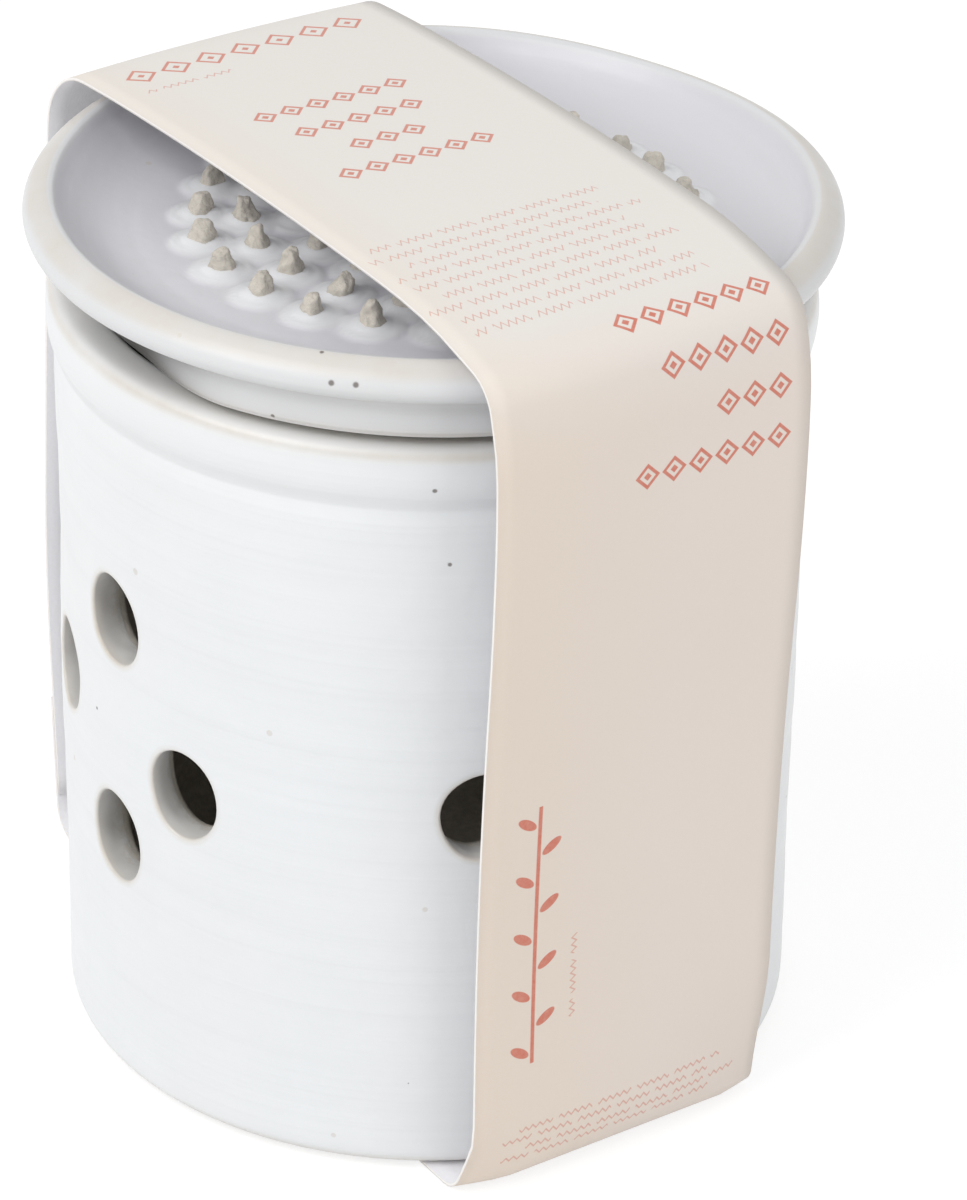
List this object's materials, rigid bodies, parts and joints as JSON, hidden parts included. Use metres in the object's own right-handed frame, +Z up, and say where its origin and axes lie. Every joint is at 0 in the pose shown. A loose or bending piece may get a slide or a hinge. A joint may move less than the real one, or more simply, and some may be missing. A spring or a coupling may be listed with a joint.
{
  "type": "garlic keeper",
  "caption": "Stoneware garlic keeper: a straight-sided pot with air holes, a dish-shaped lid with clay grater nibs on it, and a card sleeve wrapped around pot and lid.",
  "frame": {"origin": "on the pot's axis, in the plane that the sleeve's bottom panel rests on", "axes": "+Z up along the pot's axis; +X and +Y across it, the sleeve's front panel facing between +X and -Y"},
  "size_m": [0.126, 0.1413, 0.1483],
  "materials": {
    "pot_glaze": "satin white glaze",
    "lid_glaze": "satin white glaze",
    "bare_clay": "rough unglazed clay",
    "card": "smooth printed card",
    "adhesive": "set adhesive"
  },
  "bodies": {
    "pot": {"pot_body": "pot_glaze"},
    "lid": {"lid_dish": "lid_glaze", "grater_nibs": "bare_clay"},
    "sleeve": {"card_sleeve": "card", "sleeve_glue_strip": "adhesive"}
  },
  "joints": [
    {"name": "lid_lift", "type": "slide", "parent": "pot", "child": "lid", "axis": [0, 0, 1], "range_m": [0, 0.08]},
    {"name": "sleeve_slide", "type": "slide", "parent": "pot", "child": "sleeve", "axis": [-0.8348, -0.5505, 0], "range_m": [0, 0.12], "deforming": ["card_sleeve"]}
  ],
  "couplings": [
    {"joint": "sleeve_slide", "follows": "lid_lift", "ratio": 1.5}
  ]
}
